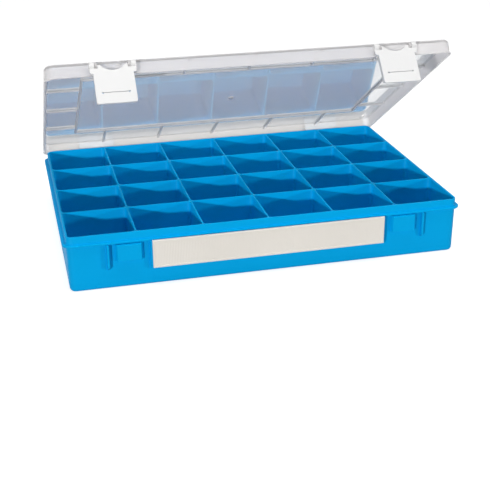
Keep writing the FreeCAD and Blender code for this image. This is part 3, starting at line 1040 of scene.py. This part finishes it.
@dataclass(frozen=True)
class Lamp:
    """A square soft box that faces the case, and may be kept out of mirrors and clear pieces."""

    name: str
    place: Triple
    size: float
    watts: float
    mirrored: bool = True
    target: Triple = (0.0, 0.0, 0.06)

    def light(self) -> None:
        """Adds the lamp to the scene."""
        data = bpy.data.lights.new(self.name, "AREA")
        data.energy = self.watts
        data.size = self.size
        lamp = linked(self.name, data)
        lamp.visible_glossy = self.mirrored
        lamp.visible_transmission = self.mirrored
        lamp.location = self.place
        aim = Vector(self.target) - Vector(self.place)
        lamp.rotation_euler = aim.to_track_quat("-Z", "Y").to_euler()


@dataclass
class Studio:
    """The pale floor, the soft lights and the camera."""

    eye: Triple = (-0.2043, -0.8701, 0.3690)
    azimuth_deg: float = -13.572
    elevation_deg: float = 23.723
    roll_deg: float = -0.543
    lens_mm: float = 74.60
    sensor_mm: float = 36.0
    floor_half: float = 12.0
    floor_gap_mm: float = 0.05
    floor_shade: float = 0.5
    glow: float = 0.8
    far_glow: float = 0.99
    far_shade: float = 0.05
    glow_reach: Pair = (0.6, 1.8)
    sky: float = 0.16
    lamps: tuple[Lamp, ...] = (
        Lamp("low_left", (-1.364, -1.949, 0.366), size=0.07, watts=31.0),
        Lamp("low_right", (1.0, -1.1, 0.25), size=0.07, watts=5.0, mirrored=False),
        Lamp("overhead", (0.0, -0.2, 1.6), size=0.8, watts=16.5, mirrored=False),
    )

    def build_camera(self) -> None:
        """Adds the camera: turned to its azimuth and elevation, then rolled about its view line."""
        azimuth, elevation = math.radians(self.azimuth_deg), math.radians(self.elevation_deg)
        level = math.cos(elevation)
        back = Vector((math.sin(azimuth) * level, -math.cos(azimuth) * level, math.sin(elevation)))
        right = (-back).cross(Vector((0, 0, 1))).normalized()
        up = right.cross(-back)
        cos, sin = math.cos(math.radians(self.roll_deg)), math.sin(math.radians(self.roll_deg))
        rolled = Matrix((right * cos + up * sin, up * cos - right * sin, back)).transposed()
        data = bpy.data.cameras.new("camera")
        data.lens = self.lens_mm
        data.sensor_width = self.sensor_mm
        camera = linked("camera", data)
        camera.matrix_world = Matrix.Translation(self.eye) @ rolled.to_4x4()
        bpy.context.scene.camera = camera

    def _floor_finish(self) -> Material:
        """Pale paint that also glows to the camera, mirrors and clear pieces, more so far out."""
        graph = Graph(bpy.data.materials.new("studio_floor"))
        paint = graph.add("ShaderNodeBsdfDiffuse")
        glow = graph.add("ShaderNodeEmission")
        spot = graph.add("ShaderNodeTexCoord")
        away = graph.add("ShaderNodeVectorMath")
        away.operation = "LENGTH"
        graph.join(spot.outputs["Object"], away.inputs[0])
        rise = graph.span(away.outputs["Value"], self.glow, self.far_glow, self.glow_reach)
        fade = graph.span(away.outputs["Value"], self.floor_shade, self.far_shade, self.glow_reach)
        graph.join(fade, paint.inputs["Color"])
        graph.join(graph.math("MULTIPLY", graph.seen_rays(), rise), glow.inputs["Strength"])
        both = graph.add("ShaderNodeAddShader")
        graph.join(paint.outputs[0], both.inputs[0])
        graph.join(glow.outputs[0], both.inputs[1])
        return graph.surface(both)

    def build_floor(self) -> None:
        """Adds the floor: a level grid of points that covers the whole view."""
        reach = np.array([-1, 0, 1]) * self.floor_half / MM
        x, y = np.meshgrid(reach, reach)
        shell = Shell()
        shell.patch(np.stack([x, y, np.full_like(x, -self.floor_gap_mm)], axis=-1))
        floor = shell.make("studio_floor")
        floor.data.materials.append(self._floor_finish())
        if floor.data.polygons[0].normal.z < 0:
            floor.data.flip_normals()

    def build_world(self) -> None:
        """Sets an even pale sky that looks white but lights the case softly."""
        graph = Graph(bpy.data.worlds.new("studio_sky"), "ShaderNodeOutputWorld")
        sky = graph.add("ShaderNodeBackground", Color=(1.0, 1.0, 1.0, 1.0))
        graph.join(graph.span(graph.seen_rays(), self.sky, 1.0), sky.inputs["Strength"])
        bpy.context.scene.world = graph.surface(sky)

    def dress(self) -> None:
        """Builds the camera, the floor, the sky and the lamps."""
        bpy.context.scene.view_settings.view_transform = "Standard"
        self.build_camera()
        self.build_floor()
        self.build_world()
        for lamp in self.lamps:
            lamp.light()


def main() -> None:
    """Builds the case's pieces in order, then the studio."""
    logging.basicConfig(level=logging.INFO, format="%(name)s: %(message)s")
    blue = MouldedPlastic("tray_blue_plastic", (0.0, 0.365, 0.74), (0.0, 0.35, 0.715), (0.42, 0.52),
                          specular=0.06)
    clear = ClearPlastic("lid_clear_plastic", (0.61, 0.63, 0.65), through=0.95,
                         roughness=(0.08, 0.12), gloss=1.0, gloss_roughness=0.02, lamp_light=0.8)
    milky = ClearPlastic("lid_milky_plastic", (0.83, 0.815, 0.815), through=0.6)
    ribbed = ClearPlastic("lid_rib_plastic", (0.68, 0.68, 0.69), through=0.7)
    # Darker, warmer copy of the skirt plastic for the rear skirt: painted shade, not a different
    # plastic.
    rear = ClearPlastic("lid_rear_plastic", (0.71, 0.69, 0.672), through=0.6)
    white = MouldedPlastic("clip_white_plastic", (0.75, 0.75, 0.745), (0.725, 0.725, 0.725),
                           (0.3, 0.4), subsurface=0.3, subsurface_mm=2.0)
    ivory = MouldedPlastic("strap_ivory_plastic", (0.73, 0.695, 0.64), (0.705, 0.67, 0.615),
                           (0.45, 0.55))
    white_plastic = white.material()
    tray = Tray(blue.material())
    tray.dress()
    lid_plastics = [plastic.material() for plastic in (clear, milky, ribbed, rear)]
    Lid(lid_plastics, white_plastic, tray).dress()
    Clips(white_plastic).dress()
    StrapHandle(ivory.material()).dress()
    Studio().dress()


if __name__ == "__main__":
    main()
